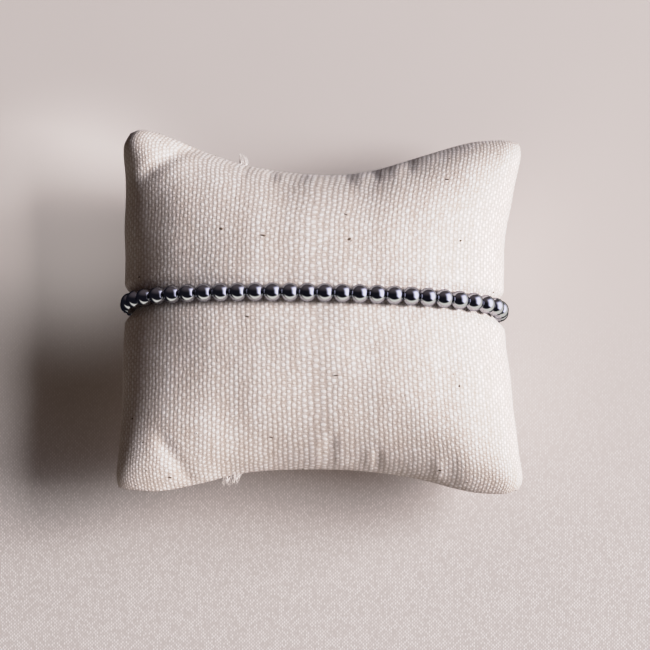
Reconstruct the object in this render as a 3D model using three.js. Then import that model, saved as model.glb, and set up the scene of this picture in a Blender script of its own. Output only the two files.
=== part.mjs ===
// A stretch bracelet of round metal beads, shown on a small stuffed canvas display pillow.
// Millimetres, +Z up.  The pillow lies on its back: +X runs along its width, +Y from its
// bottom seam to its top seam, and +Z out of its front.  The origin is under the middle of
// the whole object, on the surface that it rests on.
import * as THREE from 'three';

// ---------------------------------------------------------------- driving dimensions

// Round beads with a flat rim round each hole, threaded rim to rim.  The neck is where two
// neighbours of one run are joined.
const BEAD = { count: 52, radius: 2.0, rimRadius: 0.8, neckRadius: 1.05, holeRadius: 0.7 };
// Stretch cord through the holes.
const CORD_RADIUS = 0.33;
// Air between a bead and the cloth or the resting surface, and between two runs of beads.
const CLEARANCE = 0.3;

// The bead loop's centre line stands in the plane y = LOOP.y.  Its front half is rounder than
// its back half, which lies flat under the pillow.  The beads have slipped round it by `turn`
// of a bead, leftwards across the front.
const LOOP = {
  x: -1.35, y: 0.85, halfWidth: 40.4, turn: 0.4,
  front: { depth: 20.0, power: 2.2 },
  back: { depth: 14.4, power: 2.8 },
};
const LOOP_WIDEST_Z = CLEARANCE + BEAD.radius + LOOP.back.depth;

// The pillow's cross-section stands this far before and behind the seams at its thickest.
// The resting surface at z = 0 flattens its back.
// A section's power grows from the first value at the bracelet to the second at the seams, and a
// flatness above 1 levels its middle while leaving the flanks.
const PILLOW = {
  seamZ: 16.8, seamHalfThickness: 0.6, crownPowers: [3.2, 0.75], meanReach: 34.0,
  front: { depth: 18.6, powers: [1.7, 2.8], flatness: 1.5 },
  back: { depth: 20.0, powers: [2.5, 4.2], flatness: 1.0 },
};
// The groove that the beads press into the cloth: its half-width, and how far its floor lies
// inside the loop's centre line.
const GROOVE = { halfWidth: 5.6, inset: BEAD.radius + 2 * CLEARANCE };

// Where the rolled left and right sides lie, from the bottom corners (t = -1) through the
// bracelet (t = 0) to the top corners (t = 1).
const SIDES = [
  { t: -1.00, left: -41.0, right: 41.6 },
  { t: -0.94, left: -43.0, right: 44.0 },
  { t: -0.80, left: -42.6, right: 43.0 },
  { t: -0.50, left: -42.3, right: 41.6 },
  { t: 0.00, left: -42.6, right: 39.8 },
  { t: 0.45, left: -42.9, right: 40.0 },
  { t: 0.75, left: -43.2, right: 41.8 },
  { t: 0.92, left: -44.0, right: 43.0 },
  { t: 1.00, left: -41.8, right: 42.2 },
];

// Where the sewn ends lie across the width, from the left side (s = -1) to the right (s = 1).
const SEAMS = [
  { s: -1.00, bottom: -38.6, top: 38.4 },
  { s: -0.94, bottom: -39.7, top: 39.9 },
  { s: -0.80, bottom: -39.8, top: 38.4 },
  { s: -0.60, bottom: -37.9, top: 34.8 },
  { s: -0.35, bottom: -35.2, top: 31.8 },
  { s: 0.00, bottom: -34.3, top: 30.3 },
  { s: 0.25, bottom: -34.6, top: 31.6 },
  { s: 0.50, bottom: -36.0, top: 35.0 },
  { s: 0.75, bottom: -38.4, top: 38.3 },
  { s: 0.92, bottom: -38.8, top: 39.0 },
  { s: 1.00, bottom: -37.0, top: 38.0 },
];

// Puckers that the seams draw in, and the creases beside the corners.  Each runs in from a
// sewn end at x, and is deepest `reach` away from it.
const PUCKERS = [
  { end: 'top', x: 6.0, halfWidth: 2.6, reach: 3.0, depth: 0.8 },
  { end: 'top', x: 12.6, halfWidth: 2.8, reach: 3.5, depth: 1.0 },
  { end: 'top', x: 22.0, halfWidth: 4.0, reach: 4.0, depth: 0.5 },
  { end: 'top', x: -30.0, halfWidth: 4.5, reach: 5.0, depth: 0.5 },
  { end: 'bottom', x: 2.8, halfWidth: 2.8, reach: 3.5, depth: 0.8 },
  { end: 'bottom', x: 13.0, halfWidth: 3.0, reach: 3.5, depth: 0.5 },
  { end: 'bottom', x: -29.0, halfWidth: 4.5, reach: 5.0, depth: 0.9 },
  { end: 'bottom', x: 29.0, halfWidth: 3.5, reach: 4.0, depth: 0.7 },
];

// How finely the faces are cut.  Bead rings are placed as fractions of the radius from the
// bead's middle, and the pillow's rows as fractions of the way from the bracelet to a seam.
const LOOP_SAMPLES = 2880;
const SIDES_ROUND = { bead: 10, cord: 8, pillow: 64 };
const BEAD_RINGS = [-0.76, -0.42, 0, 0.42, 0.76];
const PILLOW_ROWS = [0.035, 0.06, 0.085, 0.115, 0.15, 0.25, 0.38, 0.51, 0.64, 0.74, 0.82, 0.885,
  0.935, 0.972, 1];

const METAL = new THREE.MeshStandardMaterial({ color: 0xb9bcc2, metalness: 1, roughness: 0.12 });
const CANVAS = new THREE.MeshStandardMaterial({ color: 0xe4ddd2, metalness: 0, roughness: 0.95 });
const ELASTIC = new THREE.MeshStandardMaterial({ color: 0x2c2c30, metalness: 0, roughness: 0.5 });

// ---------------------------------------------------------------- helpers

const signedPower = (value, power) => Math.sign(value) * Math.abs(value) ** power;
const mix = (from, to, amount) => from + (to - from) * amount;

/** The value of a table's `column` where its `key` is `at`, on a smooth curve. */
function readTable(rows, key, column, at) {
  const last = rows.length - 1;
  let i = 0;
  while (i < last - 1 && at > rows[i + 1][key]) i += 1;
  const slope = (j) => {
    const before = rows[Math.max(j - 1, 0)];
    const after = rows[Math.min(j + 1, last)];
    return (after[column] - before[column]) / (after[key] - before[key]);
  };
  const span = rows[i + 1][key] - rows[i][key];
  const f = (at - rows[i][key]) / span;
  const towardsNext = f * f * (3 - 2 * f);
  return mix(rows[i][column], rows[i + 1][column], towardsNext)
    + span * f * (1 - f) * ((1 - f) * slope(i) - f * slope(i + 1));
}

/** A closed mesh from THREE.Vector3 points and triangles of their indices. */
function solid(name, points, triangles, material) {
  const geometry = new THREE.BufferGeometry().setFromPoints(points);
  geometry.setIndex(triangles.flat());
  geometry.computeVertexNormals();
  const mesh = new THREE.Mesh(geometry, material);
  mesh.name = name;
  return mesh;
}

/** Triangles between two rings of `count` points, which start at indices a and b. */
function band(a, b, count) {
  const triangles = [];
  for (let i = 0; i < count; i += 1) {
    const j = (i + 1) % count;
    triangles.push([a + i, a + j, b + j], [a + i, b + j, b + i]);
  }
  return triangles;
}

const flipped = (triangles) => triangles.map(([a, b, c]) => [a, c, b]);

/** A ring of points round `centre`, square to the direction `along`. */
function ringAround(centre, along, radius, sides) {
  const across = new THREE.Vector3(0, 1, 0);
  const outward = new THREE.Vector3().crossVectors(across, along).normalize();
  return Array.from({ length: sides }, (_, i) => {
    const turn = (2 * Math.PI * i) / sides;
    return centre.clone()
      .addScaledVector(outward, radius * Math.cos(turn))
      .addScaledVector(across, radius * Math.sin(turn));
  });
}

// ---------------------------------------------------------------- bead loop

/** The loop's centre line at `angle`, where 0 is the right side and a quarter turn is the
 *  front, moved inwards by `inset`. */
function loopPoint(angle, inset = 0) {
  const half = Math.sin(angle) >= 0 ? LOOP.front : LOOP.back;
  return new THREE.Vector3(
    LOOP.x + (LOOP.halfWidth - inset) * signedPower(Math.cos(angle), 2 / half.power),
    LOOP.y,
    LOOP_WIDEST_Z + (half.depth - inset) * signedPower(Math.sin(angle), 2 / half.power),
  );
}

/** The places where neighbouring beads meet, from half a run before the middle of the front,
 *  on to the right, round the back and up the left.  The rims touch on the inside of the bend,
 *  so the steps are equal on a line that runs one rim radius inside the centre line. */
function threadJoints() {
  const turn = (i) => Math.PI / 2 - (2 * Math.PI * i) / LOOP_SAMPLES;
  const centreLine = Array.from({ length: LOOP_SAMPLES }, (_, i) => loopPoint(turn(i)));
  const neighbour = (i) => centreLine[(i + LOOP_SAMPLES) % LOOP_SAMPLES];
  const rimLine = centreLine.map((point, i) => {
    const along = neighbour(i + 1).clone().sub(neighbour(i - 1)).normalize();
    return point.clone().add(new THREE.Vector3(along.z, 0, -along.x).multiplyScalar(BEAD.rimRadius));
  });
  const travelled = [0];
  rimLine.forEach((point, i) => {
    travelled.push(travelled[i] + point.distanceTo(rimLine[(i + 1) % LOOP_SAMPLES]));
  });
  const length = travelled[LOOP_SAMPLES];
  const pitch = length / BEAD.count;
  const halfRun = BEAD.count / RUNS.length / 2;
  return Array.from({ length: BEAD.count }, (_, k) => {
    const place = ((k - halfRun - LOOP.turn) * pitch + length) % length;
    const after = travelled.findIndex((distance) => distance > place);
    const part = (place - travelled[after - 1]) / (travelled[after] - travelled[after - 1]);
    return neighbour(after - 1).clone().lerp(neighbour(after), part);
  });
}

// The runs of beads, in the order in which the joints follow one another.
const RUNS = ['beads_front', 'beads_right', 'beads_back', 'beads_left'];

/** One run of beads, joined neck to neck, with the hole for the cord all the way through. */
function beadRun(name, joints, first, count) {
  const joint = (k) => joints[(k + joints.length) % joints.length];
  const sides = SIDES_ROUND.bead;
  const outer = [];
  const inner = [];
  const addJoint = (k, trim) => {
    const along = joint(k + 1).clone().sub(joint(k - 1)).normalize();
    const centre = joint(k).clone().addScaledVector(along, trim);
    outer.push(ringAround(centre, along, BEAD.neckRadius, sides));
    inner.push(ringAround(centre, along, BEAD.holeRadius, sides));
  };
  for (let k = first; k < first + count; k += 1) {
    addJoint(k, k === first ? CLEARANCE / 2 : 0);
    const along = joint(k + 1).clone().sub(joint(k)).normalize();
    const middle = joint(k).clone().lerp(joint(k + 1), 0.5);
    BEAD_RINGS.forEach((place) => {
      const centre = middle.clone().addScaledVector(along, place * BEAD.radius);
      outer.push(ringAround(centre, along, BEAD.radius * Math.sqrt(1 - place * place), sides));
    });
  }
  addJoint(first + count, -CLEARANCE / 2);

  const innerStart = outer.length * sides;
  const innerEnd = innerStart + (inner.length - 1) * sides;
  const triangles = [
    ...outer.slice(1).flatMap((_, i) => band(i * sides, (i + 1) * sides, sides)),
    ...inner.slice(1).flatMap((_, i) => (
      flipped(band(innerStart + i * sides, innerStart + (i + 1) * sides, sides)))),
    ...flipped(band(0, innerStart, sides)),
    ...band(innerStart - sides, innerEnd, sides),
  ];
  return solid(name, [...outer, ...inner].flat(), triangles, METAL);
}

/** The stretch cord, a closed ring that runs straight through each bead. */
function stretchCord(joints) {
  const sides = SIDES_ROUND.cord;
  const rings = joints.map((centre, k) => {
    const before = joints[(k + joints.length - 1) % joints.length];
    const along = joints[(k + 1) % joints.length].clone().sub(before).normalize();
    return ringAround(centre, along, CORD_RADIUS, sides);
  });
  const triangles = rings.flatMap((_, k) => (
    band(k * sides, ((k + 1) % rings.length) * sides, sides)));
  return solid('stretch_cord', rings.flat(), triangles, ELASTIC);
}

// ---------------------------------------------------------------- pillow

/** How deep the puckers are at x, `fromSeam` away from the sewn end. */
function puckerDepth(end, x, fromSeam) {
  return PUCKERS.filter((row) => row.end === end).reduce((sum, row) => {
    const across = Math.exp(-(((x - row.x) / row.halfWidth) ** 2));
    const inward = (fromSeam / row.reach) * Math.exp(1 - fromSeam / row.reach);
    return sum + row.depth * across * inward;
  }, 0);
}

/** A point of the cloth: `angle` goes round the cross-section as in loopPoint, and t runs from
 *  the bottom seam (-1) through the bracelet (0) to the top seam (1). */
function pillowPoint(angle, t) {
  const onFront = Math.sin(angle) >= 0;
  const half = onFront ? PILLOW.front : PILLOW.back;
  const end = t >= 0 ? 'top' : 'bottom';
  const power = 2 / mix(half.powers[0], half.powers[1], t ** 2);
  const s = signedPower(Math.cos(angle), power);
  const rise = Math.abs(Math.sin(angle)) ** power;
  const bulge = Math.sign(Math.sin(angle)) * (1 - (1 - rise) ** half.flatness);

  const x = mix(readTable(SIDES, 't', 'left', t), readTable(SIDES, 't', 'right', t), (s + 1) / 2);
  const seam = readTable(SEAMS, 's', end, s) - LOOP.y;
  const straight = Math.sign(t) * PILLOW.meanReach;
  const fromLoop = Math.abs(t) * mix(straight, seam, Math.abs(t));
  const [fullness, ease] = PILLOW.crownPowers;
  const crown = (1 - Math.abs(t) ** fullness) ** ease;
  const pucker = onFront ? puckerDepth(end, x, Math.abs(seam - fromLoop)) * bulge : 0;
  const z = PILLOW.seamZ + mix(PILLOW.seamHalfThickness, half.depth, crown) * bulge - pucker;

  const cloth = new THREE.Vector3(x, LOOP.y + fromLoop, Math.max(z, 0));
  const press = Math.max(1 - (fromLoop / GROOVE.halfWidth) ** 2, 0) ** 2;
  const floor = loopPoint(angle, GROOVE.inset).setY(cloth.y);
  return cloth.lerp(floor, press);
}

/** Triangles that close a flattened ring of `count` points by joining its front to its back. */
function seamCap(start, count) {
  const triangles = [];
  for (let i = 0; i < count / 2; i += 1) {
    const back = count - i - 1;
    if (back !== i + 1) triangles.push([start + i, start + i + 1, start + back]);
    if (i > 0) triangles.push([start + i, start + back, start + back + 1]);
  }
  return triangles;
}

function displayPillow() {
  const around = SIDES_ROUND.pillow;
  const rows = [...PILLOW_ROWS].reverse().concat(0, PILLOW_ROWS.map((t) => -t));
  const rings = rows.map((t) => (
    Array.from({ length: around }, (_, i) => pillowPoint((2 * Math.PI * i) / around, t))));
  const triangles = [
    ...rings.slice(1).flatMap((_, i) => band(i * around, (i + 1) * around, around)),
    ...flipped(seamCap(0, around)),
    ...seamCap((rings.length - 1) * around, around),
  ];
  return solid('display_pillow', rings.flat(), triangles, CANVAS);
}

// ---------------------------------------------------------------- assembly

const bracelet = new THREE.Group();
const joints = threadJoints();
const beadsPerRun = BEAD.count / RUNS.length;
RUNS.forEach((name, i) => bracelet.add(beadRun(name, joints, i * beadsPerRun, beadsPerRun)));
bracelet.add(stretchCord(joints));

const group = new THREE.Group();
group.add(displayPillow(), bracelet);
export default group;
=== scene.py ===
"""A stretch bracelet of polished round beads on a small stuffed canvas display pillow.

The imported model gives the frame.  The beads, the cord and the pillow are made again here in
finer form, each in the place of its CAD solid.  Sizes are in millimetres unless a comment says
otherwise, and are turned into metres when a mesh is made.
"""
import math

import bpy
import numpy as np
from mathutils import Matrix, Vector


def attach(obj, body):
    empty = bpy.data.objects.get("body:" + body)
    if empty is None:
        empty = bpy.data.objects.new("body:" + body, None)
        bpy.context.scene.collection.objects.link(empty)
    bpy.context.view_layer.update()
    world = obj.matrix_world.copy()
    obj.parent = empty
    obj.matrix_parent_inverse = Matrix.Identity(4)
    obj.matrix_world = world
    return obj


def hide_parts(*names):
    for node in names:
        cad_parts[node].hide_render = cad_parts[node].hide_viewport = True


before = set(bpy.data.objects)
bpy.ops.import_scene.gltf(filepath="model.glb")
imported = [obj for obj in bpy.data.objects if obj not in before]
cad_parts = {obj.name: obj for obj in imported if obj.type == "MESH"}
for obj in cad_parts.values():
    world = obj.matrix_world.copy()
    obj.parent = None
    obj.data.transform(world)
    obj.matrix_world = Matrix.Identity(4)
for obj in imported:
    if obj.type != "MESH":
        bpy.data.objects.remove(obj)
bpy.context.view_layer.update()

MM = 0.001

# ------------------------------------------------------------------ sizes
# The loop and the pillow's big shape are the CAD part's. Holes, seams, corners and the groove
# are finer than its coarse faces allow.

BEAD_COUNT = 52
BEAD_RADIUS = 2.0
RIM_RADIUS = 0.8
HOLE_RADIUS = 0.62
CORD_RADIUS = 0.33
CLEARANCE = 0.3
# In the order in which the beads follow one another.
RUNS = ("beads_front", "beads_right", "beads_back", "beads_left")

# The loop's centre line stands in the plane y = LOOP_Y. The beads have slipped round it by
# LOOP_TURN of a bead, leftwards across the front.
LOOP_X = -1.35
LOOP_Y = 0.85
LOOP_HALF_WIDTH = 40.4
LOOP_TURN = 0.4
LOOP_FRONT = {"depth": 20.0, "power": 2.2}
LOOP_BACK = {"depth": 14.4, "power": 2.8}
LOOP_WIDEST_Z = CLEARANCE + BEAD_RADIUS + LOOP_BACK["depth"]

SEAM_Z = 16.8
SEAM_HALF_THICKNESS = 0.35
# The crown is full at the bracelet, 1 - |t| ** the first power, and ends in the seams as the
# second one says. MEAN_REACH is how far the seams are from the bracelet, more or less.
CROWN_POWERS = (3.2, 0.75)
MEAN_REACH = 34.0
# The section's power grows from the first value at the bracelet to the second at the seams;
# flatness above 1 levels the middle and leaves the flanks.
PILLOW_FRONT = {"depth": 18.6, "powers": (1.7, 2.8), "flatness": 1.5}
PILLOW_BACK = {"depth": 20.0, "powers": (2.5, 4.2), "flatness": 1.0}
GROOVE_HALF_WIDTH = 4.4
GROOVE_INSET = BEAD_RADIUS + 0.12

# The pillow's left and right edge at levels from -1, the bottom seam, to 1, the top one.
SIDES = np.array([
    (-1.00, -42.4, 43.2),
    (-0.94, -43.0, 44.0),
    (-0.80, -42.6, 43.0),
    (-0.50, -42.3, 41.6),
    (0.00, -42.6, 39.8),
    (0.45, -42.9, 40.0),
    (0.75, -43.2, 41.8),
    (0.92, -43.7, 43.0),
    (1.00, -42.2, 42.8),
])
# The bottom and the top seam at places from -1, the left edge, to 1, the right one.
SEAMS = np.array([
    (-1.00, -39.3, 38.0),
    (-0.94, -39.7, 38.9),
    (-0.80, -39.8, 37.7),
    (-0.60, -37.9, 34.7),
    (-0.35, -35.2, 31.8),
    (0.00, -34.3, 30.3),
    (0.25, -34.6, 31.6),
    (0.50, -36.0, 35.0),
    (0.75, -38.4, 38.3),
    (0.92, -38.8, 39.0),
    (1.00, -37.9, 38.5),
])

# ------------------------------------------------------------------ camera

SENSOR_WIDTH = 36
# The focal length in sensor widths, angles in degrees.
CAMERA_FOCAL_WIDTHS = 3.538
CAMERA_ELEVATION = 80.9
CAMERA_ROLL = -1.1
CAMERA_DISTANCE = 498.7
CAMERA_TARGET = (1.01, -2.96, 17.7)


def make_camera():
    data = bpy.data.cameras.new("camera")
    data.sensor_width = SENSOR_WIDTH
    data.lens = SENSOR_WIDTH * CAMERA_FOCAL_WIDTHS
    data.clip_start = 10 * MM
    camera = bpy.data.objects.new("camera", data)
    bpy.context.scene.collection.objects.link(camera)
    elevation = math.radians(CAMERA_ELEVATION)
    back = Vector((0, -math.cos(elevation), math.sin(elevation)))
    turn = back.to_track_quat("Z", "Y").to_matrix().to_4x4()
    turn = turn @ Matrix.Rotation(math.radians(-CAMERA_ROLL), 4, "Z")
    place = Vector(CAMERA_TARGET) * MM + back * CAMERA_DISTANCE * MM
    camera.matrix_world = Matrix.Translation(place) @ turn
    bpy.context.scene.camera = camera


# ------------------------------------------------------------------ mesh helpers

def make_object(name, points, faces, smooth=True):
    """A mesh object from points in millimetres."""
    mesh = bpy.data.meshes.new(name)
    mesh.from_pydata((np.asarray(points) * MM).tolist(), [], faces)
    mesh.polygons.foreach_set("use_smooth", [smooth] * len(mesh.polygons))
    mesh.update()
    made = bpy.data.objects.new(name, mesh)
    bpy.context.scene.collection.objects.link(made)
    return made


def ring_faces(rings, sides, closed=False):
    """Quads between rings of `sides` points that follow one another."""
    last = rings if closed else rings - 1
    r, i = np.meshgrid(np.arange(last), np.arange(sides), indexing="ij")
    j = (i + 1) % sides
    after = ((r + 1) % rings) * sides
    here = r * sides
    return np.stack([here + i, here + j, after + j, after + i], -1).reshape(-1, 4)


def tube_points(path, first, second, radius, sides):
    """Rings round a path's points; first and second are the directions across it."""
    turn = 2 * math.pi * np.arange(sides) / sides
    ring = (np.cos(turn)[:, None] * first[..., None, :]
            + np.sin(turn)[:, None] * second[..., None, :])
    return path[:, None] + np.reshape(radius, (-1, 1, 1)) * ring


def join_tubes(name, tubes):
    """One mesh of tubes with closed ends, which all have as many rings and sides."""
    rings, sides = tubes[0].shape[:2]
    tube_faces = ring_faces(rings, sides).tolist()
    tube_faces.append(list(range(sides))[::-1])
    tube_faces.append(list(range((rings - 1) * sides, rings * sides)))
    faces = []
    for index in range(len(tubes)):
        offset = index * rings * sides
        faces += [[corner + offset for corner in face] for face in tube_faces]
    return make_object(name, np.concatenate([tube.reshape(-1, 3) for tube in tubes]), faces)


def unit(vectors):
    return vectors / np.linalg.norm(vectors, axis=-1)[..., None]


def lengths_along(line):
    """How far it is along a line from its first point to each of its points."""
    steps = np.linalg.norm(np.diff(line, axis=0), axis=1)
    return np.concatenate([[0], np.cumsum(steps)])


def signed_power(value, power):
    return np.sign(value) * np.abs(value) ** power


def read_table(rows, column, at):
    """A smooth curve through a table's column, against its first column."""
    key, value = rows[:, 0], rows[:, column]
    rise = np.empty_like(value)
    rise[1:-1] = (value[2:] - value[:-2]) / (key[2:] - key[:-2])
    rise[0] = (value[1] - value[0]) / (key[1] - key[0])
    rise[-1] = (value[-1] - value[-2]) / (key[-1] - key[-2])
    i = np.clip(np.searchsorted(key, at, side="left") - 1, 0, len(key) - 2)
    span = key[i + 1] - key[i]
    f = (at - key[i]) / span
    step = f * f * (3 - 2 * f)
    bend = span * f * (1 - f) * ((1 - f) * rise[i] - f * rise[i + 1])
    return value[i] + (value[i + 1] - value[i]) * step + bend


# ------------------------------------------------------------------ bead loop

ACROSS = np.array([0.0, 1.0, 0.0])
LOOP_SAMPLES = 2880
BEAD_SIDES = 48
BALL_RINGS = 27
# The ball stops this angle short of the rim on either side.
BALL_MARGIN = 0.06
# The rounded edge of a hole: how far in from the rim and how much wider than the hole.
HOLE_EDGE = ((0.10, 0.0), (0.02, 0.05), (0.0, 0.12))
CORD_SIDES = 12
CORD_RINGS_PER_BEAD = 4


def loop_point(angle, inset=0.0):
    """x and z of the loop's centre line; angle 0 is the right side, a quarter turn the front."""
    sine, cosine = np.sin(angle), np.cos(angle)
    on_front = sine >= 0
    power = 2 / np.where(on_front, LOOP_FRONT["power"], LOOP_BACK["power"])
    depth = np.where(on_front, LOOP_FRONT["depth"], LOOP_BACK["depth"]) - inset
    x = LOOP_X + (LOOP_HALF_WIDTH - inset) * signed_power(cosine, power)
    z = LOOP_WIDEST_Z + depth * signed_power(sine, power)
    return x, z


def thread_joints():
    """The points where neighbouring beads meet, spaced evenly one rim radius inside the loop."""
    x, z = loop_point(math.pi / 2 - 2 * math.pi * np.arange(LOOP_SAMPLES) / LOOP_SAMPLES)
    line = np.stack([x, z], 1)
    along = unit(np.roll(line, -1, 0) - np.roll(line, 1, 0))
    rim_line = line + np.stack([along[:, 1], -along[:, 0]], 1) * RIM_RADIUS
    travelled = lengths_along(np.vstack([rim_line, rim_line[:1]]))
    half_run = BEAD_COUNT / len(RUNS) / 2
    pitch = travelled[-1] / BEAD_COUNT
    places = ((np.arange(BEAD_COUNT) - half_run - LOOP_TURN) * pitch) % travelled[-1]
    closed = np.vstack([line, line[:1]])
    x = np.interp(places, travelled, closed[:, 0])
    z = np.interp(places, travelled, closed[:, 1])
    return np.stack([x, np.full(BEAD_COUNT, LOOP_Y), z], 1)


def bead_profile():
    """Rows of (place along the hole, radius): out of the hole, round the rim and over the ball."""
    half_length = math.sqrt(BEAD_RADIUS ** 2 - RIM_RADIUS ** 2)
    outer_start = math.asin(RIM_RADIUS / BEAD_RADIUS)
    ball_start = outer_start + BALL_MARGIN
    hole = [(-half_length / 2, HOLE_RADIUS)]
    hole += [(inward - half_length, HOLE_RADIUS + wider) for inward, wider in HOLE_EDGE]
    ball = [(-BEAD_RADIUS * math.cos(angle), BEAD_RADIUS * math.sin(angle))
            for angle in np.linspace(ball_start, math.pi - ball_start, BALL_RINGS)]
    return np.array(hole + ball + [(-place, radius) for place, radius in hole[::-1]])


def make_beads(name, joints, first, count):
    """One run of separate beads, as a single joined mesh."""
    profile = bead_profile()
    bead_faces = ring_faces(len(profile), BEAD_SIDES, closed=True)
    points, faces = [], []
    for k in range(first, first + count):
        start, end = joints[k % BEAD_COUNT], joints[(k + 1) % BEAD_COUNT]
        along = unit(end - start)
        hole_line = (start + end) / 2 + profile[:, :1] * along
        ball = tube_points(hole_line, np.cross(ACROSS, along), ACROSS, profile[:, 1], BEAD_SIDES)
        faces.append(bead_faces + len(points) * len(profile) * BEAD_SIDES)
        points.append(ball.reshape(-1, 3))
    return make_object(name, np.concatenate(points), np.concatenate(faces).tolist())


def make_cord(joints):
    after = np.roll(joints, -1, 0)
    parts = np.arange(CORD_RINGS_PER_BEAD) / CORD_RINGS_PER_BEAD
    path = (joints[:, None] + (after - joints)[:, None] * parts[:, None]).reshape(-1, 3)
    along = unit(np.roll(path, -1, 0) - np.roll(path, 1, 0))
    points = tube_points(path, np.cross(ACROSS, along), ACROSS, CORD_RADIUS, CORD_SIDES)
    faces = ring_faces(len(path), CORD_SIDES, closed=True).tolist()
    return make_object("elastic_cord", points.reshape(-1, 3), faces)


# ------------------------------------------------------------------ pillow

FRONT_COLUMNS = 228
BACK_COLUMNS = 148
ROWS = 224
SECTION_SAMPLES = 4000
# The levels whose sections space the columns evenly and lay the warp yarns.
SPACING_LEVEL = 0.3
YARN_LEVEL = 0.5
# Folds and unevenness fade out where the crown falls from the second to the first value.
FULL_CROWN = (0.02, 0.16)
# Folds reach their full depth where the sine of the angle is 1 / this, and fade beyond their
# end over this many half widths.
FOLD_ONSET = 3.0
FOLD_FADE = 1.6

# Folds and ridges of the front: x0, y0, x1, y1, half width, depth. They run from a seam at
# (x0, y0) to (x1, y1), where they fade. A depth above 0 sinks in and one below 0 stands up.
FOLDS = np.array([
    (5.0, 31.0, 5.2, 28.4, 0.9, 0.60),
    (8.2, 31.5, 8.3, 27.3, 1.3, -0.45),
    (10.9, 32.0, 11.4, 28.6, 0.9, 0.60),
    (15.8, 33.5, 15.8, 29.5, 1.3, -0.40),
    (18.9, 33.5, 18.7, 31.0, 1.0, 0.40),
    (25.8, 36.0, 25.5, 33.2, 1.7, 0.15),
    (-11.5, 31.0, -11.3, 28.8, 1.0, 0.50),
    (-8.8, 31.0, -8.8, 28.0, 1.2, -0.30),
    (-4.8, 31.0, -4.9, 28.5, 1.0, 0.35),
    (-1.8, 31.0, -1.8, 28.0, 1.3, -0.35),
    (-16.7, 32.0, -17.2, 28.0, 0.5, 0.25),
    (2.7, -35.0, 2.7, -29.8, 1.0, 0.80),
    (1.0, -35.0, 1.0, -29.5, 1.0, -0.40),
    (12.9, -35.5, 12.7, -32.0, 0.9, 0.50),
    (11.3, -35.5, 11.2, -32.0, 0.9, -0.25),
    (28.9, -38.5, 28.6, -34.0, 1.4, 0.16),
    (26.0, -38.5, 25.6, -34.0, 1.2, -0.30),
    (-28.0, 36.0, -37.3, 28.7, 2.0, 0.90),
    (-27.5, -37.0, -32.2, -30.8, 1.6, 0.60),
])
# Corners that curl up, seam and all: middle x and y, half width along x and y, height.
EARS = np.array([
    (-40.0, -38.0, 8.5, 8.0, 2.6),
    (-43.0, 38.0, 11.0, 8.0, 4.4),
])
# Broad, shallow unevenness of the stuffing: how many waves, their lengths and their height.
WAVES = {"count": 22, "lengths": (9.0, 26.0), "height": 0.03, "seed": 7}
# How far the back's waves are moved, so that they differ from the front's.
BACK_WAVE_SHIFT = 57.0
# The height over which the cloth turns onto the table.
TABLE_SOFTNESS = 1.5
# The cloth sinks sideways into the groove as the angle's cosine goes from one to the other.
GROOVE_SIDES = (0.75, 0.99)
GROOVE_SAMPLES = 2001


def fold_depth(x, y):
    total = np.zeros_like(x)
    for x0, y0, x1, y1, width, depth in FOLDS:
        run = np.array([x1 - x0, y1 - y0])
        length = np.linalg.norm(run)
        along = ((x - x0) * run[0] + (y - y0) * run[1]) / length ** 2
        aside = ((x - x0) * run[1] - (y - y0) * run[0]) / length
        beyond = np.maximum(0, along - 1) * length
        total += depth * np.exp(-(aside / width) ** 2 - (beyond / (FOLD_FADE * width)) ** 2)
    return total


def corner_lift(x, y):
    total = np.zeros_like(x)
    for x0, y0, wide, tall, height in EARS:
        total += height * np.exp(-((x - x0) / wide) ** 2 - ((y - y0) / tall) ** 2)
    return total


def unevenness(x, y):
    rng = np.random.default_rng(WAVES["seed"])
    total = np.zeros_like(x)
    for _ in range(WAVES["count"]):
        heading, phase = rng.uniform(0, 2 * math.pi, 2)
        number = 2 * math.pi / rng.uniform(*WAVES["lengths"])
        total += np.sin(number * (x * math.cos(heading) + y * math.sin(heading)) + phase)
    return total * WAVES["height"]


def smooth_step(value, low, high):
    part = np.clip((value - low) / (high - low), 0, 1)
    return part * part * (3 - 2 * part)


def crown_at(t):
    return np.maximum(1 - np.abs(t) ** CROWN_POWERS[0], 0) ** CROWN_POWERS[1]


def section_power(angle, t):
    on_front = np.sin(angle) >= 0
    middle = np.where(on_front, PILLOW_FRONT["powers"][0], PILLOW_BACK["powers"][0])
    end = np.where(on_front, PILLOW_FRONT["powers"][1], PILLOW_BACK["powers"][1])
    return 2 / (middle + (end - middle) * t ** 2)


def pillow_point(angle, t):
    depth = np.where(np.sin(angle) >= 0, PILLOW_FRONT["depth"], PILLOW_BACK["depth"])
    power = section_power(angle, t)
    s = signed_power(np.cos(angle), power)
    rise = np.abs(np.sin(angle)) ** power
    flatness = np.where(np.sin(angle) >= 0, PILLOW_FRONT["flatness"], PILLOW_BACK["flatness"])
    bulge = np.sign(np.sin(angle)) * (1 - (1 - rise) ** flatness)
    left, right = read_table(SIDES, 1, t), read_table(SIDES, 2, t)
    x = left + (right - left) * (s + 1) / 2
    seam = np.where(t >= 0, read_table(SEAMS, 2, s), read_table(SEAMS, 1, s)) - LOOP_Y
    straight = np.sign(t) * MEAN_REACH
    from_loop = np.abs(t) * (straight + (seam - straight) * np.abs(t))
    z = SEAM_Z + (SEAM_HALF_THICKNESS + (depth - SEAM_HALF_THICKNESS) * crown_at(t)) * bulge
    return np.stack([x, LOOP_Y + from_loop, z], -1)


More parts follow.
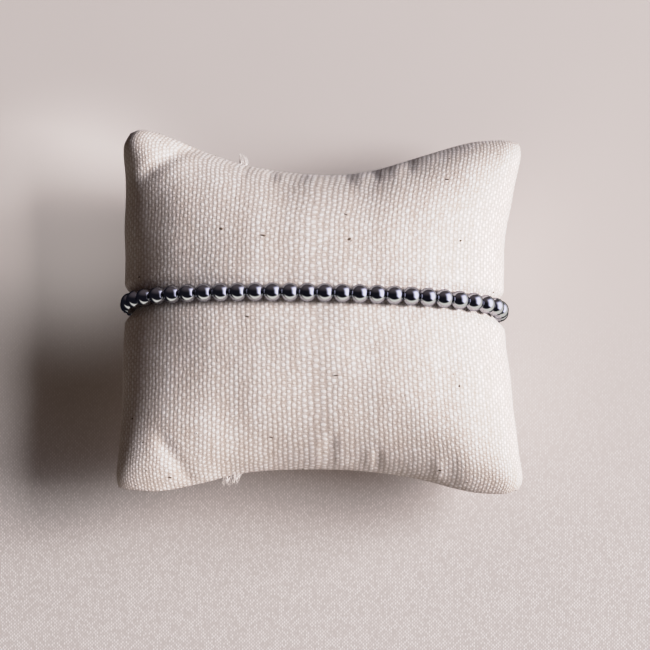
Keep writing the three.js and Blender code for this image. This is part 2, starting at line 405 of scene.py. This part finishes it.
def even_angles(start, end, count):
    """Angles that are evenly spaced round a section, how far round they are, and its length."""
    fine = np.linspace(start, end, SECTION_SAMPLES)
    travelled = lengths_along(pillow_point(fine, np.full_like(fine, SPACING_LEVEL)))
    goals = np.linspace(0, travelled[-1], count + 1)[:-1]
    return np.interp(goals, travelled, fine), goals, travelled[-1]


def grid_normals(points):
    """Outward normals of a grid whose rows run round the pillow, from its top to its bottom."""
    around = np.roll(points, -1, 1) - np.roll(points, 1, 1)
    along = np.gradient(points, axis=0)
    normal = np.cross(around, along)
    return normal / np.maximum(np.linalg.norm(normal, axis=-1), 1e-9)[..., None]


def flatten_below(z):
    """max(z, 0), with its corner rounded."""
    rounded = (z + TABLE_SOFTNESS) ** 2 / (4 * TABLE_SOFTNESS)
    return np.where(z > TABLE_SOFTNESS, z, np.where(z < -TABLE_SOFTNESS, 0, rounded))


def groove_floor(points, angle):
    """Where the beads press the cloth in. Away from the sides it sinks without moving across."""
    floor_x, _ = loop_point(angle, GROOVE_INSET)
    beside = smooth_step(np.abs(np.cos(angle)), *GROOVE_SIDES)
    x = points[..., 0] + (floor_x - points[..., 0]) * beside
    fine = np.linspace(0, math.pi, GROOVE_SAMPLES)
    front_x, front_z = loop_point(fine, GROOVE_INSET)
    back_x, back_z = loop_point(-fine, GROOVE_INSET)
    z = np.where(np.sin(angle) >= 0, np.interp(x, front_x[::-1], front_z[::-1]),
                 np.interp(x, back_x[::-1], back_z[::-1]))
    return np.stack([x, points[..., 1], z], -1)


def shape_pillow(angle, level):
    """The plain bag's points, moved by its folds, its corners, the table and the groove."""
    points = pillow_point(angle, level)
    outward = grid_normals(points)
    on_front = np.sin(angle) >= 0
    facing = np.clip(np.abs(np.sin(angle)) * FOLD_ONSET, 0, 1)
    full = smooth_step(crown_at(level), *FULL_CROWN)
    x, y = points[..., 0], points[..., 1]
    points[..., 2] -= np.where(on_front, fold_depth(x, y) * facing * full, 0)
    points[..., 2] += corner_lift(x, y)
    shift = np.where(on_front, 0.0, BACK_WAVE_SHIFT)
    points = points - outward * (unevenness(x + shift, y - shift) * full)[..., None]
    points[..., 2] = flatten_below(points[..., 2])
    distance = np.abs(points[..., 1] - LOOP_Y) / GROOVE_HALF_WIDTH
    press = (np.maximum(1 - distance ** 2, 0) ** 2)[..., None]
    return points + (groove_floor(points, angle) - points) * press


def seam_faces(start, columns):
    """A strip from the front's edge to the back's that closes the bag along a seam."""
    inner = FRONT_COLUMNS - 1
    front_edge = [start + i for i in range(FRONT_COLUMNS + 1)]
    back_edge = [start + columns - 1 - round(i * (BACK_COLUMNS - 1) / inner)
                 for i in range(inner)]
    back_edge = [start] + back_edge + [start + FRONT_COLUMNS]
    faces = []
    for i in range(FRONT_COLUMNS):
        # Two corners can be one point, which leaves a triangle.
        corners = list(dict.fromkeys(front_edge[i:i + 2] + back_edge[i:i + 2][::-1]))
        if len(corners) > 2:
            faces.append(corners)
    return faces


def cloth_across(angles, widths, angle, level):
    """How far round the bag each point is: warp yarns run straight from seam to seam."""
    across = signed_power(np.cos(angle), section_power(angle, level))
    guide = signed_power(np.cos(angles), section_power(angles, YARN_LEVEL))
    half = FRONT_COLUMNS
    on_front = np.interp(across, guide[:half][::-1], widths[:half][::-1])
    on_back = np.interp(across, guide[half:], widths[half:])
    return np.where(np.sin(angle) >= 0, on_front, on_back)


def make_pillow():
    front, front_widths, front_length = even_angles(0, math.pi, FRONT_COLUMNS)
    back, back_widths, back_length = even_angles(math.pi, 2 * math.pi, BACK_COLUMNS)
    angles = np.concatenate([front, back])
    widths = np.concatenate([front_widths, front_length + back_widths])
    columns = len(angles)
    # From the top seam to the bottom one.
    levels = np.sin(np.linspace(1, -1, ROWS) * math.pi / 2)
    angle, level = np.meshgrid(angles, levels)
    points = shape_pillow(angle, level)
    faces = ring_faces(ROWS, columns).tolist()
    faces += [face[::-1] for face in seam_faces(0, columns)]
    faces += seam_faces((ROWS - 1) * columns, columns)
    made = make_object("canvas_pillow", points.reshape(-1, 3), faces)
    u = cloth_across(angles, widths, angle, level)
    v = lengths_along(pillow_point(np.full(ROWS, math.pi / 2), levels))
    paint_uv(made, u.ravel(), np.repeat(v, columns), front_length + back_length)
    return made


def paint_uv(made, u, v, girth):
    """Cloth coordinates in millimetres: u round the bag, v from seam to seam."""
    layer = made.data.uv_layers.new(name="cloth")
    loops = np.empty(len(made.data.loops), dtype=np.int64)
    made.data.loops.foreach_get("vertex_index", loops)
    u = u[loops]
    v = v[loops]
    # The column after the last one is the first again, a whole girth on.
    totals = np.empty(len(made.data.polygons), dtype=np.int64)
    made.data.polygons.foreach_get("loop_total", totals)
    owner = np.repeat(np.arange(len(totals)), totals)
    highest = np.zeros(len(totals))
    np.maximum.at(highest, owner, u)
    u = np.where(highest[owner] - u > girth / 2, u + girth, u)
    layer.data.foreach_set("uv", np.stack([u, v], 1).astype(np.float32).ravel())


# ------------------------------------------------------------------ loose ends and flecks

# Ends of yarn at the seams: the two ends of the roots' line and of the tips' line, how many
# yarns there are and how much they curl.
TUFTS = {
    "yarn_tuft_top": {"root": ((-18.2, 31.2, 17.1), (-17.0, 31.0, 17.1)),
                      "tips": ((-18.4, 34.9, 18.2), (-17.1, 34.5, 17.9)),
                      "count": 64, "curl": 0.22, "seed": 3},
    "yarn_tuft_bottom": {"root": ((-20.4, -34.9, 17.0), (-16.2, -34.6, 17.0)),
                         "tips": ((-19.9, -38.6, 17.4), (-17.3, -38.3, 17.2)),
                         "count": 60, "curl": 0.45, "seed": 5},
}
YARN_RADIUS = 0.075
YARN_RINGS = 10
YARN_SIDES = 5
# How the yarns of a tuft differ: their roots, their tips along the line and about it, how far
# they reach, how thick they are, how much they sway beside their curl and thin to the tip.
ROOT_SPREAD = 0.07
TIP_SHIFT = 0.12
TIP_RANGE = (-0.05, 1.05)
TIP_SPREAD = 0.18
YARN_REACH = (0.55, 1.0)
YARN_THICKNESS = (0.6, 1.1)
YARN_SWAY = 0.4
YARN_TAPER = 0.75
# Any direction that no yarn runs in.
YARN_ASIDE = (0.3, 0.2, 1.0)


def make_tuft(name, root, tips, count, curl, seed):
    rng = np.random.default_rng(seed)
    root, tips = np.array(root), np.array(tips)
    along = np.linspace(0, 1, YARN_RINGS)[:, None]
    yarns = []
    for _ in range(count):
        place = rng.uniform(0, 1)
        end_place = np.clip(place + rng.normal(0, TIP_SHIFT), *TIP_RANGE)
        start = root[0] + (root[1] - root[0]) * place + rng.normal(0, ROOT_SPREAD, 3)
        end = tips[0] + (tips[1] - tips[0]) * end_place + rng.normal(0, TIP_SPREAD, 3)
        end = start + (end - start) * rng.uniform(*YARN_REACH)
        bend = rng.normal(0, curl, 3)
        sway = rng.normal(0, curl * YARN_SWAY, 3)
        path = start + (end - start) * along + bend * np.sin(math.pi * along) * along
        path = path + sway * np.sin(2 * math.pi * along)
        forward = unit(np.gradient(path, axis=0))
        first = unit(np.cross(forward, YARN_ASIDE))
        thickness = YARN_RADIUS * rng.uniform(*YARN_THICKNESS)
        radius = thickness * (1 - YARN_TAPER * along ** 3)
        yarns.append(tube_points(path, first, np.cross(forward, first), radius, YARN_SIDES))
    return join_tubes(name, yarns)


# Bits of seed husk in the front's cloth: x, y, how long and how wide.
FLECKS = np.array([
    (-21.4, 14.5, 0.75, 0.50), (-12.6, 13.2, 1.15, 0.36), (5.8, 12.8, 0.80, 0.50),
    (5.2, 18.3, 0.90, 0.24), (26.5, 27.2, 0.90, 0.36), (29.5, 13.9, 0.60, 0.34),
    (3.7, -16.1, 1.10, 0.28), (29.5, -17.5, 0.50, 0.40), (-9.7, -28.8, 1.00, 0.30),
    (25.9, -34.6, 0.70, 0.50), (-31.4, -37.0, 0.90, 0.40), (-15.5, -4.4, 0.90, 0.34),
    (6.2, 12.1, 0.50, 0.25), (37.0, 4.0, 0.55, 0.30), (-39.5, -25.0, 0.70, 0.36),
    (-38.9, 5.5, 0.70, 0.40),
])
SMALL_FLECKS = {"count": 54, "lengths": (0.2, 0.5), "widths": (0.12, 0.22), "seed": 11}
FLECK_SIDES = 10
FLECK_RINGS = 5
# The outermost rings stop short of the poles by this part of a quarter turn.
FLECK_END = 0.96
FLECK_HALF_HEIGHT = 0.07
FLECK_LIFT = 0.02
# Flecks longer than the first value lie along the warp yarns, give or take the second.
ALONG_WARP = (0.4, 0.5)
# A point whose normal leans further back than this isn't on the front.
FRONT_NORMAL_Z = 0.1


def make_flecks(pillow):
    rng = np.random.default_rng(SMALL_FLECKS["seed"])
    mesh = pillow.data
    places = np.array([vertex.co for vertex in mesh.vertices]) / MM
    normals = np.array([vertex.normal for vertex in mesh.vertices])
    off_front = np.where(normals[:, 2] > FRONT_NORMAL_Z, 0, np.inf)
    chosen = []
    for x, y, length, width in FLECKS:
        away = np.hypot(places[:, 0] - x, places[:, 1] - y) + off_front
        chosen.append((int(np.argmin(away)), length, width))
    for _ in range(SMALL_FLECKS["count"]):
        spot = int(rng.integers(len(places)))
        length = rng.uniform(*SMALL_FLECKS["lengths"])
        chosen.append((spot, length, rng.uniform(*SMALL_FLECKS["widths"])))
    rise = np.sin(np.linspace(-1, 1, FLECK_RINGS) * math.pi / 2 * FLECK_END)
    long_from, lean = ALONG_WARP
    bodies = []
    for spot, length, width in chosen:
        normal = normals[spot]
        heading = rng.uniform(-lean, lean) if length > long_from else rng.uniform(0, math.pi)
        first = unit(np.cross(normal, [math.sin(heading), math.cos(heading), 0.1]))
        second = np.cross(normal, first)
        spine = places[spot] + (rise * FLECK_HALF_HEIGHT + FLECK_LIFT)[:, None] * normal
        wide = np.sqrt(1 - rise ** 2)
        bodies.append(tube_points(spine, first * length / 2, second * width / 2, wide, FLECK_SIDES))
    return join_tubes("husk_flecks", bodies)


# ------------------------------------------------------------------ materials

class Nodes:
    """Short calls for building a node tree."""

    def __init__(self, tree):
        self.tree = tree

    def add(self, kind, **values):
        node = self.tree.nodes.new(kind)
        for key, value in values.items():
            setattr(node, key, value)
        return node

    def link(self, source, target):
        self.tree.links.new(source, target)

    def feed(self, socket, value):
        if isinstance(value, bpy.types.NodeSocket):
            self.link(value, socket)
        else:
            socket.default_value = value

    def math(self, operation, *values, clamp=False):
        node = self.add("ShaderNodeMath", operation=operation, use_clamp=clamp)
        for socket, value in zip(node.inputs, values):
            self.feed(socket, value)
        return node.outputs[0]

    def mix(self, amount, first, second):
        node = self.add("ShaderNodeMix", data_type="RGBA")
        self.feed(node.inputs["Factor"], amount)
        self.feed(node.inputs["A"], first)
        self.feed(node.inputs["B"], second)
        return node.outputs["Result"]

    def combine(self, x, y, z=0.0):
        node = self.add("ShaderNodeCombineXYZ")
        for socket, value in zip(node.inputs, (x, y, z)):
            self.feed(socket, value)
        return node.outputs[0]

    def split(self, vector):
        node = self.add("ShaderNodeSeparateXYZ")
        self.link(vector, node.inputs[0])
        return node.outputs[0], node.outputs[1]

    def from_middle(self, value):
        """How far a value is past the middle between two whole numbers."""
        return self.math("SUBTRACT", self.math("FRACT", value), 0.5)

    def dome(self, x, y):
        """1 - x² - y², and 0 where that is negative."""
        reach = self.math("ADD", self.math("MULTIPLY", x, x), self.math("MULTIPLY", y, y))
        return self.math("SUBTRACT", 1.0, reach, clamp=True)

    def place(self):
        """The point of the surface, in metres."""
        return self.add("ShaderNodeTexCoord").outputs["Object"]

    def noise(self, vector, scale, detail=2.0, roughness=0.5):
        node = self.add("ShaderNodeTexNoise")
        self.link(vector, node.inputs["Vector"])
        node.inputs["Scale"].default_value = scale
        node.inputs["Detail"].default_value = detail
        node.inputs["Roughness"].default_value = roughness
        return node.outputs["Fac"]

    def random(self, vector):
        node = self.add("ShaderNodeTexWhiteNoise", noise_dimensions="3D")
        self.link(vector, node.inputs["Vector"])
        return node.outputs["Value"]

    def scale_range(self, value, low, high):
        """Stretch 0 to 1 to low to high."""
        node = self.add("ShaderNodeMapRange")
        self.feed(node.inputs["Value"], value)
        node.inputs["To Min"].default_value = low
        node.inputs["To Max"].default_value = high
        return node.outputs[0]

    def spread(self, value, reach):
        """Stretch 0 to 1 to -reach to reach."""
        return self.scale_range(value, -reach, reach)


class MaterialNodes(Nodes):
    def __init__(self, name):
        self.material = bpy.data.materials.new(name)
        self.material.use_nodes = True
        super().__init__(self.material.node_tree)
        self.shader = self.tree.nodes["Principled BSDF"]

    def surface(self, **values):
        """Feed the shader's sockets, named in small letters with _ for each space."""
        sockets = {socket.name.lower().replace(" ", "_"): socket for socket in self.shader.inputs}
        for name, value in values.items():
            self.feed(sockets[name], value)


WARP_PITCH = 0.95
WEFT_PITCH = 0.62
# How far yarns wander and grains are shifted, in pitches.
WARP_WANDER = 0.35
WEFT_WANDER = 0.5
GRAIN_SHIFT = 0.12
# Half sizes of a warp grain, in pitches, from the smallest to the largest.
GRAIN_HALF_WIDTHS = (0.34, 0.47)
GRAIN_HALF_HEIGHTS = (0.27, 0.36)
WEFT_HALF_HEIGHT = 0.16
# A furrow's half width is a pitch over the first; its strength goes from the second to the third.
FURROW_NARROWNESS = 4.5
FURROW_STRENGTHS = (-0.55, 1.35)
# Heights beside a warp grain's 1, and the height in millimetres that 1 stands for.
WEFT_RELIEF = 0.10
FUZZ_RELIEF = 0.8
FURROW_RELIEF = 0.12
CANVAS_RELIEF = 0.11
# How dark the painted shade is in the furrows and in the gaps between the grains, and how much each
# scale of change counts in the cream's tone.
FURROW_PAINTED_SHADE = 0.16
GAP_PAINTED_SHADE_RANGE = (0.2, 1.1)
TONES = {"grain": 0.9, "yarn": 0.9, "mottle": 1.5, "streak": 2.2, "patch": 1.2}
CREAM = ((0.74, 0.66, 0.635, 1), (0.88, 0.84, 0.845, 1))
# Painted shade in the weave's gaps: a darker, browner cream.
CANVAS_GAP_PAINTED_SHADE = (0.43, 0.345, 0.305, 1)
YARN_COLOURS = ((0.66, 0.60, 0.57, 1), (0.88, 0.84, 0.84, 1))
HUSK_COLOURS = ((0.030, 0.020, 0.014, 1), (0.14, 0.09, 0.055, 1))
STEEL_COLOURS = ((0.45, 0.46, 0.50, 1), (0.51, 0.52, 0.55, 1))
STEEL_EDGE = (0.30, 0.28, 0.33, 1)
ELASTIC_COLOURS = ((0.03, 0.03, 0.034, 1), (0.08, 0.08, 0.09, 1))

FLOOR_PITCH = 0.38
# Towards the front the floor's weave fades in from the first y to the second.
FLOOR_WEAVE_FROM = (10.0, -60.0)
FLOOR_PLAIN = ((0.525, 0.477, 0.460, 1), (0.555, 0.505, 0.488, 1))
FLOOR_BRIGHT = ((0.72, 0.665, 0.655, 1), (0.74, 0.685, 0.675, 1))
FLOOR_GAP = (0.40, 0.355, 0.34, 1)
FLOOR_GAP_SHARE = 0.42


def canvas_grains(n, a, b, column):
    """The weave's height, with a number for each grain. a and b count warp and weft yarns."""
    # In each warp yarn a grain shows at every second weft, and the next yarn's are between.
    odd = n.math("MULTIPLY", n.math("MODULO", column, 2.0), 0.5)
    lifted = n.math("ADD", n.math("MULTIPLY", b, 0.5), odd)
    cell = n.math("FLOOR", lifted)
    seed = n.random(n.combine(column, cell, 1.0))
    shift = n.spread(n.random(n.combine(column, cell, 9.0)), GRAIN_SHIFT)
    across = n.math("ADD", n.from_middle(a), shift)
    warp = n.dome(n.math("DIVIDE", across, n.scale_range(seed, *GRAIN_HALF_WIDTHS)),
                  n.math("DIVIDE", n.from_middle(lifted), n.scale_range(seed, *GRAIN_HALF_HEIGHTS)))
    # The weft shows between the grains, lower and wider.
    between = n.from_middle(n.math("ADD", lifted, 0.5))
    weft = n.dome(n.math("DIVIDE", across, 0.5), n.math("DIVIDE", between, WEFT_HALF_HEIGHT))
    weft = n.math("MULTIPLY", weft, WEFT_RELIEF)
    return n.math("SQRT", n.math("MAXIMUM", warp, weft)), seed


def canvas_furrows(n, a, v):
    """Some warp yarns lie apart, with a deeper furrow between them."""
    moved = n.math("ADD", a, 0.5)
    aside = n.math("MULTIPLY", n.math("ABSOLUTE", n.from_middle(moved)), FURROW_NARROWNESS)
    furrow = n.math("SUBTRACT", 1.0, aside, clamp=True)
    gap = n.math("MULTIPLY", n.math("FLOOR", moved), 5.3)
    depth = n.noise(n.combine(gap, n.math("MULTIPLY", v, 0.12)), 1.0, 2.0)
    furrow = n.math("MULTIPLY", furrow, n.scale_range(depth, *FURROW_STRENGTHS))
    return n.math("MAXIMUM", furrow, 0.0)


def canvas_cream(n, uv, seed, column):
    """Pale cream that varies by grain and by yarn, with mottling, long streaks and patches."""
    u, v = n.split(uv)
    lengthwise = n.combine(n.math("MULTIPLY", u, 0.9), n.math("MULTIPLY", v, 0.05))
    parts = {
        "grain": seed,
        "yarn": n.random(n.combine(column, 3.0, 5.0)),
        "mottle": n.noise(uv, 3.0, 2.0),
        "streak": n.noise(lengthwise, 1.0, 3.0),
        "patch": n.noise(uv, 0.12, 3.0),
    }
    tone = 0.0
    for name, part in parts.items():
        tone = n.math("ADD", tone, n.spread(part, TONES[name]))
    return n.mix(n.math("MULTIPLY_ADD", tone, 0.25, 0.5, clamp=True), *CREAM)


def canvas_material():
    n = MaterialNodes("unbleached_canvas")
    uv = n.add("ShaderNodeUVMap", uv_map="cloth").outputs[0]
    u, v = n.split(uv)
    # Yarns wander a little.
    wander_u = n.spread(n.noise(uv, 0.2, 3.0), WARP_WANDER)
    wander_v = n.spread(n.noise(n.combine(v, u, 7.0), 0.35, 3.0), WEFT_WANDER)
    a = n.math("ADD", n.math("DIVIDE", u, WARP_PITCH), wander_u)
    b = n.math("ADD", n.math("DIVIDE", v, WEFT_PITCH), wander_v)
    column = n.math("FLOOR", a)
    height, seed = canvas_grains(n, a, b, column)
    furrow = canvas_furrows(n, a, v)
    fuzz = n.noise(uv, 5.0, 4.0, 0.7)
    relief = n.math("ADD", height, n.math("MULTIPLY", fuzz, FUZZ_RELIEF))
    relief = n.math("SUBTRACT", relief, n.math("MULTIPLY", furrow, FURROW_RELIEF))
    bump = n.add("ShaderNodeBump")
    bump.inputs["Strength"].default_value = 0.8
    bump.inputs["Distance"].default_value = CANVAS_RELIEF * MM
    n.link(relief, bump.inputs["Height"])
    # Painted shade: the colour darkens in the gaps between the grains and in the furrows, where the
    # weave's hollows lie in shade.
    gap = n.math("SUBTRACT", 1.0, height, clamp=True)
    gap = n.math("MULTIPLY", gap, n.scale_range(n.noise(uv, 1.6, 2.0), *GAP_PAINTED_SHADE_RANGE))
    gap = n.math("ADD", gap, n.math("MULTIPLY", furrow, FURROW_PAINTED_SHADE), clamp=True)
    colour = n.mix(gap, canvas_cream(n, uv, seed, column), CANVAS_GAP_PAINTED_SHADE)
    n.surface(base_color=colour, normal=bump.outputs[0], roughness=0.9, specular_ior_level=0.2,
              sheen_weight=0.15, sheen_roughness=0.5)
    return n.material


def loose_yarn_material():
    n = MaterialNodes("loose_yarn")
    colour = n.mix(n.noise(n.place(), 1500.0, 3.0), *YARN_COLOURS)
    n.surface(base_color=colour, roughness=0.9, sheen_weight=0.3)
    return n.material


def husk_material():
    n = MaterialNodes("seed_husk")
    colour = n.mix(n.noise(n.place(), 700.0, 3.0), *HUSK_COLOURS)
    n.surface(base_color=colour, roughness=0.8)
    return n.material


def steel_material():
    n = MaterialNodes("polished_steel")
    place = n.place()
    haze = n.scale_range(n.noise(place, 900.0, 3.0, 0.6), 0.03, 0.08)
    colour = n.mix(n.noise(place, 260.0, 2.0), *STEEL_COLOURS)
    n.surface(base_color=colour, roughness=haze, metallic=1.0, specular_tint=STEEL_EDGE)
    return n.material


def elastic_material():
    n = MaterialNodes("stretch_elastic")
    colour = n.mix(n.noise(n.place(), 2500.0), *ELASTIC_COLOURS)
    n.surface(base_color=colour, roughness=0.45)
    return n.material


def floor_material():
    """A plain table cloth, woven much finer than the pillow."""
    n = MaterialNodes("pale_floor")
    place = n.place()
    x, y = n.split(place)
    pitch = FLOOR_PITCH * MM
    a = n.math("ADD", n.math("DIVIDE", x, pitch), n.spread(n.noise(place, 60.0, 3.0), 1.0))
    b = n.math("ADD", n.math("DIVIDE", y, pitch), n.spread(n.noise(place, 75.0, 3.0), 1.0))
    column = n.math("FLOOR", a)
    odd = n.math("MULTIPLY", n.math("MODULO", column, 2.0), 0.5)
    row = n.math("ADD", n.math("MULTIPLY", b, 0.5), odd)
    seed = n.random(n.combine(column, n.math("FLOOR", row), 2.0))
    grain = n.dome(n.math("MULTIPLY", n.from_middle(a), 2.0),
                   n.math("MULTIPLY", n.from_middle(row), 2.2))
    grain = n.math("MULTIPLY", grain, n.scale_range(seed, 0.2, 1.6))
    # At the back the weave is too far off to make out.
    near = n.add("ShaderNodeMapRange")
    n.link(y, near.inputs["Value"])
    near.inputs["From Min"].default_value = FLOOR_WEAVE_FROM[0] * MM
    near.inputs["From Max"].default_value = FLOOR_WEAVE_FROM[1] * MM
    grain = n.math("MULTIPLY", grain, near.outputs[0])
    soft = n.noise(place, 18.0, 3.0)
    gap_share = n.math("MULTIPLY", near.outputs[0], FLOOR_GAP_SHARE)
    between = n.mix(gap_share, n.mix(soft, *FLOOR_PLAIN), FLOOR_GAP)
    colour = n.mix(n.math("MULTIPLY", grain, 0.9, clamp=True), between,
                   n.mix(soft, *FLOOR_BRIGHT))
    n.surface(base_color=colour, roughness=1.0, specular_ior_level=0.0)
    return n.material


# ------------------------------------------------------------------ stage and light

FLOOR_HALF = 900.0
# The floor lies this far below the pillow's flat back.
FLOOR_DROP = 0.02


def make_floor():
    corners = [(-1, -1, 0), (1, -1, 0), (1, 1, 0), (-1, 1, 0)]
    floor = make_object("floor", np.array(corners) * FLOOR_HALF, [(0, 1, 2, 3)], smooth=False)
    floor.location.z = -FLOOR_DROP * MM
    floor.data.materials.append(floor_material())
    # The beads mirror the room below instead, so that it can be as bright as it needs.
    floor.visible_glossy = False
    floor.visible_diffuse = False
    return floor


# The window to the right: which way it is from the object, its width and height in metres and
# its power in watts. The table has its own, which is wider and so softens the shadow.
WINDOW_LIGHTS = {
    "window_on_object": {"toward": (0.82, 0.07, 0.565), "size": (0.84, 1.1), "power": 116.0},
    "window_on_table": {"toward": (0.83, 0.13, 0.487), "size": (1.4, 1.5), "power": 126.0},
}
WINDOW_DISTANCE = 2.4
WINDOW_TINT = (1.0, 0.985, 0.98)
# A patch of light on the table, where the shadow fades away up the left side.
PATCH_LIGHT = {"middle": (-56.0, 21.5, 0.0), "toward": (-0.2, 0.0, 0.98), "radius": 31.0,
               "height": 350.0, "power": 2.9, "softness": 10.0}


def place_light(data, place, target, receivers):
    """A light that faces its target and lights only the objects given."""
    light = bpy.data.objects.new(data.name, data)
    bpy.context.scene.collection.objects.link(light)
    light.location = place
    light.rotation_mode = "QUATERNION"
    light.rotation_quaternion = (place - target).to_track_quat("Z", "Y")
    # What the beads mirror of the window is in the room below.
    light.visible_glossy = False
    group = bpy.data.collections.new(data.name)
    for receiver in receivers:
        group.objects.link(receiver)
    light.light_linking.receiver_collection = group


def add_window_light(name, receivers):
    data = bpy.data.lights.new(name, "AREA")
    data.shape = "RECTANGLE"
    data.size, data.size_y = WINDOW_LIGHTS[name]["size"]
    data.energy = WINDOW_LIGHTS[name]["power"]
    data.color = WINDOW_TINT
    toward = Vector(WINDOW_LIGHTS[name]["toward"]).normalized()
    place_light(data, toward * WINDOW_DISTANCE, Vector(), receivers)


def add_patch_light(receivers):
    data = bpy.data.lights.new("patch_on_table", "SPOT")
    data.energy = PATCH_LIGHT["power"]
    data.spot_size = 2 * math.atan(PATCH_LIGHT["radius"] / PATCH_LIGHT["height"])
    data.spot_blend = 1.0
    data.shadow_soft_size = PATCH_LIGHT["softness"] * MM
    middle = Vector(PATCH_LIGHT["middle"]) * MM
    place = middle + Vector(PATCH_LIGHT["toward"]) * PATCH_LIGHT["height"] * MM
    place_light(data, place, middle, receivers)


# The room as the beads mirror it: a patch is where all its steps (axis, low, high) are past.
ROOM_DARK = (0.012, 0.012, 0.018, 1)
OVERHEAD = (
    ((0.0, 0.97, 0.25), 0.20, 1.0),
    ((0.0, 0.0, 1.0), -0.50, 0.10),
)
OVERHEAD_COLOUR = (0.125, 0.102, 0.112, 1)
TABLE = (
    ((0.0, -0.405, -0.914), -0.03, 0.09),
    ((1.0, 0.0, 0.0), -0.98, -0.72),
    ((0.5, 0.0, 1.0), -0.50, -0.20),
)
TABLE_COLOUR = (1.14, 1.10, 0.99, 1)
WINDOW = (
    ((0.857, 0.16, -0.515), -0.25, 0.42),
    ((0.0, 0.0, 1.0), -0.40, 0.1),
    ((0.0, -1.0, 0.0), -0.90, -0.55),
    ((0.25, 1.0, 0.0), -0.45, -0.15),
)
WINDOW_COLOUR = (1.95, 1.90, 2.40, 1)
# What cloth is lit by beside the lights: dim air, and some light that the table in front
# throws back up.
AMBIENT = (0.046, 0.029, 0.020, 1)
BOUNCE = (
    ((0.35, -0.75, -0.56), 0.15, 0.75),
)
BOUNCE_COLOUR = (0.75, 0.65, 0.575, 1)
# What the camera sees past the floor.
BACKDROP = (0.60, 0.545, 0.52, 1)
# Highlights roll off softly, as on film: (scene, picture), from the end of the curve.
FILM_CURVE = ((1.0, 0.805), (0.80, 0.735), (0.60, 0.60), (0.30, 0.30))


def turned_to(n, direction, axis, low, high):
    """0 to 1 as a direction's part along an axis goes from low to high."""
    dot = n.add("ShaderNodeVectorMath", operation="DOT_PRODUCT")
    n.link(direction, dot.inputs[0])
    dot.inputs[1].default_value = axis
    step = n.add("ShaderNodeMapRange", interpolation_type="SMOOTHSTEP")
    n.link(dot.outputs["Value"], step.inputs["Value"])
    step.inputs["From Min"].default_value = low
    step.inputs["From Max"].default_value = high
    return step.outputs[0]


def room_patch(n, direction, below, steps, colour):
    factor = 1.0
    for step in steps:
        factor = n.math("MULTIPLY", factor, turned_to(n, direction, *step))
    return n.mix(factor, below, colour)


def make_room():
    world = bpy.data.worlds.new("room")
    world.use_nodes = True
    n = Nodes(world.node_tree)
    direction = n.add("ShaderNodeTexCoord").outputs["Generated"]
    mirrored = room_patch(n, direction, ROOM_DARK, OVERHEAD, OVERHEAD_COLOUR)
    mirrored = room_patch(n, direction, mirrored, WINDOW, WINDOW_COLOUR)
    mirrored = room_patch(n, direction, mirrored, TABLE, TABLE_COLOUR)
    around = room_patch(n, direction, AMBIENT, BOUNCE, BOUNCE_COLOUR)
    path = n.add("ShaderNodeLightPath")
    colour = n.mix(path.outputs["Is Diffuse Ray"], mirrored, around)
    colour = n.mix(path.outputs["Is Camera Ray"], colour, BACKDROP)
    n.link(colour, n.tree.nodes["Background"].inputs["Color"])
    bpy.context.scene.world = world


def develop_picture():
    view = bpy.context.scene.view_settings
    view.view_transform = "Standard"
    view.use_curve_mapping = True
    curve = view.curve_mapping.curves[3]
    curve.points[1].location = FILM_CURVE[0]
    for point in FILM_CURVE[1:]:
        curve.points.new(*point)
    view.curve_mapping.update()


# ------------------------------------------------------------------ the object

def finish_piece(made, material, slot, *nodes):
    made.data.materials.append(material)
    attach(made, "root")
    if nodes:
        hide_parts(*nodes)


make_camera()
table = make_floor()
make_room()
develop_picture()

joints = thread_joints()
steel = steel_material()
run_length = BEAD_COUNT // len(RUNS)
pieces = []
for index, run in enumerate(RUNS):
    beads = make_beads(run.replace("beads", "bead_run"), joints, index * run_length, run_length)
    finish_piece(beads, steel, "bead_metal", run)
    pieces.append(beads)

cord = make_cord(joints)
finish_piece(cord, elastic_material(), "elastic", "stretch_cord")
pieces.append(cord)

pillow = make_pillow()
finish_piece(pillow, canvas_material(), "canvas", "display_pillow")
pieces.append(pillow)

yarn = loose_yarn_material()
for tuft, shape in TUFTS.items():
    threads = make_tuft(tuft, **shape)
    finish_piece(threads, yarn, "canvas")
    pieces.append(threads)

flecks = make_flecks(pillow)
finish_piece(flecks, husk_material(), "canvas")
pieces.append(flecks)

add_window_light("window_on_object", pieces)
add_window_light("window_on_table", [table])
add_patch_light([table])
